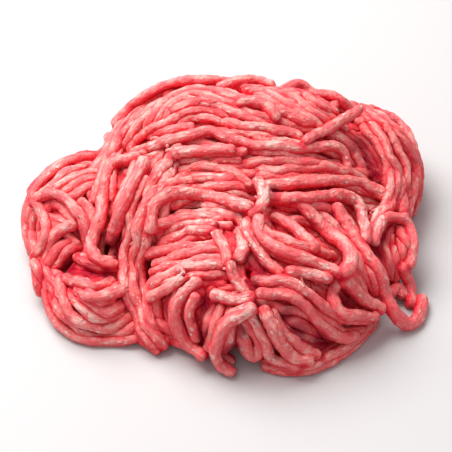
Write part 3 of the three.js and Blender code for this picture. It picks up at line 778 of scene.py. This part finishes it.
# %% Join many bent strands into one piece
def strand_piece(name, rows, sides, ring_step):
    """One object from many strands, with what the material reads kept as attributes."""
    points, faces, straight, tints, crowns, gaps = [], [], [], [], [], []
    start = 0
    for number, (line, radius, _) in enumerate(rows):
        verts, polygons, place, crown = bend(line, radius, number + len(name) * 100, sides, ring_step)
        points.append(verts)
        crowns.append(crown)
        gaps.append(gap_to_others(verts, line, radius))
        faces += [[v + start for v in face] for face in polygons]
        straight.append(place)
        tints.append(np.full(len(verts), chance(number * 3 + len(name))))
        start += len(verts)
    points = np.vstack(points)
    mesh = bpy.data.meshes.new(name)
    mesh.from_pydata(((points + SHIFT) * MM).tolist(), [], faces)
    for kept, values in {
        "straight": np.vstack(straight) * MM, "tint": np.concatenate(tints),
        "outness": mound_distance(points), "fat": fat_amount(points), "hollow_shade": hollow_shade_amount(points),
        "crown": np.concatenate(crowns), "gap": np.concatenate(gaps),
    }.items():
        add_attribute(mesh, kept, values)
    print(name, len(rows), "strands,", sum(len(face) - 2 for face in faces), "triangles")
    return smooth_object(name, mesh)


def smooth_object(name, mesh):
    """An object of this mesh, shaded smooth."""
    mesh.polygons.foreach_set("use_smooth", [True] * len(mesh.polygons))
    return place_object(name, mesh)


def add_attribute(mesh, name, values):
    """A number or a vector for each vertex, which the material reads by name."""
    kind, part = ("FLOAT", "value") if values.ndim == 1 else ("FLOAT_VECTOR", "vector")
    layer = mesh.attributes.new(name, kind, "POINT")
    layer.data.foreach_set(part, np.ravel(values).astype(np.float32))


# %% [markdown]
# ## Smears and hollows
#
# Fat is smeared pale over some strands. The dark hollows are painted shade, for shadow in gaps that are
# really deeper. Both are spots: a place on the front board and a size in millimetres. A spot goes right
# through along its line of sight.

# %% Smears of fat
FAT_SPOTS = [
    (-28, 30, 6), (-33, -6, 5), (4, -27, 9), (6, -7, 6), (-17, -20, 7), (60, 4, 5), (-55, -36, 8),
    (3, 4, 8), (2, -16, 6), (-8, 1, 9), (18, 31, 5), (36, -20, 6),
    (-18, 27, 7), (10, -37, 7), (16, 13, 5), (-67, 20, 4), (56, 9, 6), (-8, 22, 6),
]
FAT_RISE = 2  # it shows fully this far outside the mound, and not at all inside

# %% Dark hollows, painted shade
SHADE_SPOTS = [
    (60, 15, 4), (58, 20, 5), (56, 26, 5), (53, 32, 4), (61, -5, 4), (60, -11, 4),
    (36, 3, 4), (42, 1, 4), (10, -14, 3), (14, -18, 4), (29, -42, 5), (38, -46, 5), (24, -36, 4),
    (5, -42, 4), (3, -50, 4), (-8, -44, 3), (-15, -38, 3), (-8, -31, 4), (47, -30, 4), (11, -22, 3),
    (-45, -7, 4), (-43, -12, 3), (-62, -17, 4), (-55, -18, 4), (-48, -19, 3), (-25, 3, 4), (20, 13, 3),
]
SHADE_FADE = 2  # painted shade fades over this height, in mm
SHADE_GONE_ABOVE = 2.2  # and is gone at this many times it above the mound


def spot_amount(points, spots):
    """How near each point is to one of the spots, as the camera sees them: 1 in the middle of a spot."""
    places = BOARDS["front"].places(points)
    amount = np.zeros(len(points))
    for a, b, size in spots:
        away = np.hypot(places[:, 0] - a, places[:, 1] - b) / size
        amount = np.maximum(amount, np.exp(-away ** 2))
    return amount


def fat_amount(points):
    """How much fat shows at each point, from 0 to 1: only on strands that lie outside the mound."""
    return spot_amount(points, FAT_SPOTS) * np.clip(mound_distance(points) / FAT_RISE, 0, 1)


def hollow_shade_amount(points):
    """How much painted shade each point gets, from 0 to 1: not on strands that lie high above the mound.
    """
    low_down = np.clip(SHADE_GONE_ABOVE - mound_distance(points) / SHADE_FADE, 0, 1)
    return spot_amount(points, SHADE_SPOTS) * low_down


print(len(FAT_SPOTS), "smears,", len(SHADE_SPOTS), "dark hollows")


# %% [markdown]
# ## Shreds
#
# Where the fat is smeared, the skin of the strands is torn, and thin shreds of fat stand out of it. They
# are laid like strands, only finer and shorter, one after another around each smeared place. One that
# would lie outside the heap is left out.

# %% Shreds of fat, in millimetres
SHREDS = 3  # for each place
SHRED = 1.7  # thickness of the thickest
SHRED_FINEST = 0.5  # the thinnest, as a part of it
SHRED_SHORTEST = 2.0
SHRED_LONGER = 2.5  # what the longest has more
SHRED_STEP = 1.0
SHRED_REACH = 2 * STRAND  # none is further off the mound
SUNK = 0.6  # how deep they lie in what carries them


def lay_shreds():
    """Centre lines of the shreds around every smear."""
    rows = []
    for place, (a, b, size) in enumerate(FAT_SPOTS):
        for number in range(SHREDS):
            draws = [chance(place * 97 + number * 7 + j) for j in range(6)]
            turn, off = draws[0] * 2 * math.pi, size * draws[1]
            heading, length = draws[2] * 2 * math.pi, SHRED_SHORTEST + SHRED_LONGER * draws[3]
            middle = np.array([a + off * math.cos(turn), b + off * math.sin(turn)])
            half = np.array([math.cos(heading), math.sin(heading)]) * length / 2
            bow = np.array([-half[1], half[0]]) * (draws[4] - 0.5)
            places = smooth_line([middle - half, middle + bow, middle + half], SHRED_STEP)
            radius = SHRED / 2 * (SHRED_FINEST + (1 - SHRED_FINEST) * draws[5])
            line = lay_strand(BOARDS["front"], places, radius, (False, False), LOOSE)
            if len(line) >= FEWEST and mound_distance(line).max() < SHRED_REACH:
                rows.append((line - BOARDS["front"].back * SUNK, radius, "shred"))
    return rows


shreds = lay_shreds()
print(len(shreds), "shreds of fat")

# %% The strands as pieces, by the part of the heap that they lie on
ROUGH_SIDES = 8  # what lies deep or is thin needs fewer
UNDER_RING_STEP = 2.4
SHRED_RING_STEP = 0.5
pieces = []


def of_view(rows, wanted):
    """The strands that were drawn on the front board, or the others."""
    return [row for row in rows if (SHEAVES[row[2]][0] == "front") == wanted]


front_rows = of_view(strands, True)
third = len(front_rows) // 3
for piece_name, rows in {
    "strands_back": front_rows[:third],
    "strands_middle": front_rows[third:2 * third],
    "strands_top": front_rows[2 * third:],
    "strands_behind": of_view(strands, False),
}.items():
    pieces.append(strand_piece(piece_name, rows, SIDES, RING_STEP))
pieces.append(strand_piece("strands_under", under_strands, ROUGH_SIDES, UNDER_RING_STEP))
pieces.append(strand_piece("shreds", shreds, ROUGH_SIDES, SHRED_RING_STEP))

# %% [markdown]
# ## The core
#
# Deep inside, the strands are squeezed into solid meat. It is seen in the deepest gaps and in a few
# places low down, and its dark red there is painted shade. A ball for each lobe, drawn in by more than
# a strand, is all it takes, and the balls are cut off at the table.

# %% Core
CORE_IN = 6.0  # how much smaller than the lobes the balls are, in mm
BALL_CUTS = 4
OFF_TABLE = 0.1  # where the balls are cut, in mm


def make_core():
    """One closed form from a ball for each lobe, flat below."""
    bm = bmesh.new()
    for centre, radii, turn in LOBES.values():
        ball = bmesh.ops.create_icosphere(bm, subdivisions=BALL_CUTS, radius=1)["verts"]
        bmesh.ops.scale(bm, vec=[(r - CORE_IN) * MM for r in radii], verts=ball)
        turned = math.radians(turn)
        cos, sin = math.cos(turned), math.sin(turned)
        for v in ball:
            v.co = (v.co.x * cos - v.co.y * sin, v.co.x * sin + v.co.y * cos, v.co.z)
        bmesh.ops.translate(bm, vec=(np.array(centre) + SHIFT) * MM, verts=ball)
    cut = bmesh.ops.bisect_plane(bm, geom=[*bm.verts, *bm.edges, *bm.faces], clear_inner=True,
                                 plane_co=(0, 0, OFF_TABLE * MM), plane_no=(0, 0, 1))
    bmesh.ops.holes_fill(bm, edges=[g for g in cut["geom_cut"] if isinstance(g, bmesh.types.BMEdge)])
    mesh = bpy.data.meshes.new("core")
    bm.to_mesh(mesh)
    bm.free()
    # the core's outness makes the material paint it dark, as painted shade
    add_attribute(mesh, "outness", np.full(len(mesh.vertices), -CORE_IN))
    return smooth_object("core", mesh)


pieces.append(make_core())
print("core", len(pieces[-1].data.polygons), "faces")

# %% [markdown]
# ## Raw meat
#
# Mince is muscle with fat through it. Both smear into streaks along the strand, and harder bits of fat
# stay as pale flecks. Light goes a little way into it and comes out redder, so the gaps are crimson and
# not grey; that crimson is also painted into the colour as shade. Its skin is moist, with broad soft
# highlights. Paler crowns and tops are painted highlight, and darker sides, deep strands, the core and
# the hollows are painted shade.
#
# Streaks and flecks follow the strand, so they read the attribute "straight": where a point would be if
# its strand was pulled straight. Patches that go over many strands read Object coordinates.

# %% Helpers for nodes
def set_input(tree, socket, value):
    """Links a socket into an input, or sets the input to a value."""
    if isinstance(value, bpy.types.NodeSocket):
        tree.links.new(value, socket)
    else:
        socket.default_value = value


def add_node(tree, kind, inputs=None, **settings):
    """A node with its settings, and its inputs by name or number."""
    node = tree.nodes.new(kind)
    for name, value in settings.items():
        setattr(node, name, value)
    for name, value in (inputs or {}).items():
        set_input(tree, node.inputs[name], value)
    return node


def mixed(tree, factor, first, second):
    """A colour between a colour or socket and a plain colour."""
    node = add_node(tree, "ShaderNodeMix", {"Factor": factor}, data_type="RGBA")
    ends = [socket for socket in node.inputs if socket.type == "RGBA"]
    for socket, value in zip(ends, (first, second)):
        set_input(tree, socket, (*value, 1) if isinstance(value, tuple) else value)
    return next(socket for socket in node.outputs if socket.type == "RGBA")


def ranged(tree, value, low, high, to_low=0.0, to_high=1.0):
    """The value's place between low and high, smoothly held to the two ends."""
    node = add_node(tree, "ShaderNodeMapRange", {
        "Value": value, "From Min": low, "From Max": high, "To Min": to_low, "To Max": to_high,
    }, interpolation_type="SMOOTHSTEP")
    return node.outputs["Result"]


def maths(tree, operation, first, second):
    """One sum of two values or sockets."""
    return add_node(tree, "ShaderNodeMath", {0: first, 1: second}, operation=operation).outputs[0]


def times(tree, first, second):
    """The product of two values or sockets."""
    return maths(tree, "MULTIPLY", first, second)


def scaled(tree, vector, by):
    """A vector stretched along its axes."""
    return add_node(tree, "ShaderNodeVectorMath", {0: vector, 1: by}, operation="MULTIPLY").outputs[0]


def noise(tree, vector, scale, detail, roughness=0.5, output=0):
    """Noise between 0 and 1, with this many bumps to the metre."""
    inputs = {"Vector": vector, "Scale": scale, "Detail": detail, "Roughness": roughness}
    return add_node(tree, "ShaderNodeTexNoise", inputs).outputs[output]


def attribute(tree, name, output="Fac"):
    """What add_attribute kept under this name."""
    return add_node(tree, "ShaderNodeAttribute", attribute_name=name).outputs[output]


# %% Fat flecks, as a node group
FLECK_STRETCH = (0.55, 1, 1)  # they are longer along the strand
WOBBLE_SCALE = 900.0  # bumps of their edges to the metre
WOBBLE = (0.0011,) * 3  # and how far these go, in metres
FLECK_REACH = 2.4  # how they grow with their share
FLECK_EDGE = (-0.30, 0.10)


def flecks_group():
    """Pale bits of fat: how much fat shows at a point. Size is in metres, Share from 0 to 1."""
    tree = bpy.data.node_groups.new("fat_flecks", "ShaderNodeTree")
    for name, kind in {"Vector": "Vector", "Size": "Float", "Share": "Float"}.items():
        tree.interface.new_socket(name, in_out="INPUT", socket_type="NodeSocket" + kind)
    tree.interface.new_socket("Fleck", in_out="OUTPUT", socket_type="NodeSocketFloat")
    source = add_node(tree, "NodeGroupInput")
    sink = add_node(tree, "NodeGroupOutput")
    stretch = scaled(tree, source.outputs["Vector"], FLECK_STRETCH)
    nudge = scaled(tree, noise(tree, stretch, WOBBLE_SCALE, 1.0, output="Color"), WOBBLE)
    place = add_node(tree, "ShaderNodeVectorMath", {0: stretch, 1: nudge}, operation="ADD").outputs[0]
    rate = maths(tree, "DIVIDE", 1.0, source.outputs["Size"])
    cells = add_node(tree, "ShaderNodeTexVoronoi", {"Vector": place, "Scale": rate})
    lot = add_node(tree, "ShaderNodeSeparateColor", {"Color": cells.outputs["Color"]}).outputs[0]
    reach = times(tree, maths(tree, "SUBTRACT", source.outputs["Share"], lot), FLECK_REACH)
    inside = ranged(tree, maths(tree, "SUBTRACT", reach, cells.outputs["Distance"]), *FLECK_EDGE)
    tree.links.new(inside, sink.inputs["Fleck"])
    return tree


FLECKS = flecks_group()


def flecks(tree, straight, fat, size, share, more):
    """Flecks of one size, with more of them where the fat is smeared."""
    full_share = maths(tree, "ADD", times(tree, fat, more), share)
    inputs = {"Vector": straight, "Size": size, "Share": full_share}
    return add_node(tree, "ShaderNodeGroup", node_tree=FLECKS, inputs=inputs).outputs[0]


# %% The meat's colours, as linear light
MUSCLE = (0.90, 0.096, 0.110)
# the meat's own pale streaks, shown with painted highlight on crowns and high on the heap
PALE_AND_HIGHLIGHT_MUSCLE = (0.96, 0.360, 0.315)
# painted shade: the sides of a strand that face down
SHADED_SIDE_MUSCLE = (0.86, 0.028, 0.054)
# painted shade in the grooves where strands touch
GAP_SHADE_MUSCLE = (0.80, 0.010, 0.044)
# painted shade: strands deep down, where little light gets
DEEP_SHADE_MUSCLE = (0.82, 0.000, 0.024)
# painted shade in the hollows
HOLLOW_SHADE_MUSCLE = (0.34, 0.002, 0.020)
# painted shade: the core, seen at the bottom of the deepest gaps
CORE_SHADE_MUSCLE = (0.60, 0.001, 0.014)
FAT = (0.97, 0.56, 0.50)

# %% Looks by what is read: from this value to that, and the result at both
# painted shade: darker where a point faces down
RED_BY_LIGHT = (-0.3, 0.8, 0.0, 1.0)
PALE_BY_STREAK = (0.40, 0.66, 0.1, 0.8)
PALE_BY_PATCH = (0.3, 0.7, 0.6, 1.15)
PALE_BY_STRETCH = (0.35, 0.65, 0.35, 1.3)
# painted highlight: paler where a point faces up, and higher on the heap
PALE_BY_LIGHT = (0.2, 1.05, 0.05, 1.15)
HIGHLIGHT_BY_HEIGHT = (0.022, 0.048, 0.92, 1.4)
# painted shade: in the grooves, deep down and on the core
SHADE_BY_GAP = (0.8, 1.25, 0.6, 0.0)
DEEP_SHADE_BY_OUTNESS = (-4.5, 0.5, 1.0, 0.0)
CORE_SHADE_BY_OUTNESS = (-6.0, -5.7, 1.0, 0.0)
SMEAR_BY_STREAK = (0.36, 0.56, 0.0, 1.0)
SMEAR_BY_STRETCH = (0.35, 0.60, 0.1, 0.8)
# painted shade: less fat shows in gaps and on sides that face down
FAT_SHADE_BY_GAP = (1.0, 1.7, 0.1, 1.0)
FAT_SHADE_BY_CROWN = (-0.4, 0.5, 0.2, 1.0)
# painted shade in the hollows
SHADE_BY_HOLLOW = (0.1, 0.9, 0.0, 0.85)
ROUGH_BY_MOISTURE = (0.35, 0.7, 0.34, 0.55)
SHINE_BY_GAP = (1.0, 1.9, 0.0, 0.45)
COAT_BY_GAP = (1.0, 1.9, 0.0, 0.16)


# %% Raw meat
def meat_material(name):
    """Raw minced meat, by the attributes of the strands."""
    material = bpy.data.materials.new(name)
    material.use_nodes = True
    tree = material.node_tree
    shader = tree.nodes["Principled BSDF"]
    straight = attribute(tree, "straight", "Vector")
    tint, outness, fat, hollow_shade, crown, gap = (
        attribute(tree, kept) for kept in ("tint", "outness", "fat", "hollow_shade", "crown", "gap"))
    place = add_node(tree, "ShaderNodeTexCoord").outputs["Object"]
    height_up = add_node(tree, "ShaderNodeSeparateXYZ", {"Vector": place}).outputs["Z"]

    # Noises along the strand, and over many strands
    streaks = noise(tree, scaled(tree, straight, (0.3, 1, 1)), 620.0, 3.0, 0.6)
    grain = noise(tree, straight, 760.0, 2.0)
    patches = noise(tree, place, 38.0, 2.0)
    stretches = noise(tree, straight, 210.0, 1.0)
    moist = noise(tree, place, 260.0, 2.0)
    fibres = noise(tree, scaled(tree, straight, (0.5, 1, 1)), 640.0, 4.0, 0.6)

    # Muscle, with light and shade painted into the colour: darker on the sides that face down, in the
    # gaps, deep down and on the core, as painted shade; paler on a strand's crown and high on the heap,
    # as painted highlight, on top of its own paler streaks and patches
    lit = maths(tree, "ADD", crown, times(tree, maths(tree, "SUBTRACT", grain, 0.5), 1.6))
    # painted shade on the sides that face down, by how far each point faces up
    colour = mixed(tree, ranged(tree, lit, *RED_BY_LIGHT), SHADED_SIDE_MUSCLE, MUSCLE)
    pale = maths(tree, "ADD", ranged(tree, streaks, *PALE_BY_STREAK), times(tree, tint, 0.25))
    # the pale streaks are the meat's own; lit and height_up add painted highlight to them
    for read, ramp in ((patches, PALE_BY_PATCH), (stretches, PALE_BY_STRETCH), (lit, PALE_BY_LIGHT),
                       (height_up, HIGHLIGHT_BY_HEIGHT)):
        pale = times(tree, pale, ranged(tree, read, *ramp))
    # pale streaks with painted highlight, then painted shade in the grooves, deep down and on the core
    for amount, layer in ((pale, PALE_AND_HIGHLIGHT_MUSCLE), (ranged(tree, gap, *SHADE_BY_GAP), GAP_SHADE_MUSCLE),
                          (ranged(tree, outness, *DEEP_SHADE_BY_OUTNESS), DEEP_SHADE_MUSCLE),
                          (ranged(tree, outness, *CORE_SHADE_BY_OUTNESS), CORE_SHADE_MUSCLE)):
        colour = mixed(tree, amount, colour, layer)

    # Fat in flecks and smears, less of it in gaps and on sides that face down, as painted shade, and the
    # dark hollows, painted shade too
    small = flecks(tree, straight, fat, size=0.0014, share=0.16, more=0.30)
    large = flecks(tree, straight, fat, size=0.0026, share=0.05, more=0.10)
    specks = maths(tree, "MAXIMUM", small, large)
    smear = times(tree, fat, ranged(tree, streaks, *SMEAR_BY_STREAK))
    smear = times(tree, smear, ranged(tree, stretches, *SMEAR_BY_STRETCH))
    white = maths(tree, "MAXIMUM", times(tree, specks, 0.9), smear)
    # painted shade: the fat is kept out of gaps and off sides that face down
    white = times(tree, white, ranged(tree, gap, *FAT_SHADE_BY_GAP))
    white = times(tree, white, ranged(tree, crown, *FAT_SHADE_BY_CROWN))
    colour = mixed(tree, white, colour, FAT)
    # painted shade: the dark hollows
    colour = mixed(tree, ranged(tree, hollow_shade, *SHADE_BY_HOLLOW), colour, HOLLOW_SHADE_MUSCLE)

    # Skin: moist in patches, dull in the gaps, rough with fibres
    height = maths(tree, "ADD", fibres, times(tree, specks, 0.25))
    bump = add_node(tree, "ShaderNodeBump", {"Height": height, "Distance": 0.0020, "Strength": 1.0})
    for name_in, value in {
        "Base Color": colour,
        "Roughness": ranged(tree, moist, *ROUGH_BY_MOISTURE),
        "Specular IOR Level": ranged(tree, gap, *SHINE_BY_GAP),
        "Normal": bump.outputs[0],
        "Subsurface Weight": 0.20,
        "Subsurface Radius": (1.0, 0.12, 0.08),
        "Subsurface Scale": 0.0015,
        "Coat Weight": ranged(tree, gap, *COAT_BY_GAP),
        "Coat Roughness": 0.25,
    }.items():
        set_input(tree, shader.inputs[name_in], value)
    return material


RAW_MEAT = meat_material("raw_meat")

# %% Dress the pieces and say what they stand for
for piece in pieces:
    piece.data.materials.append(RAW_MEAT)
    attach(piece, "root")
    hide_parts(NODE)
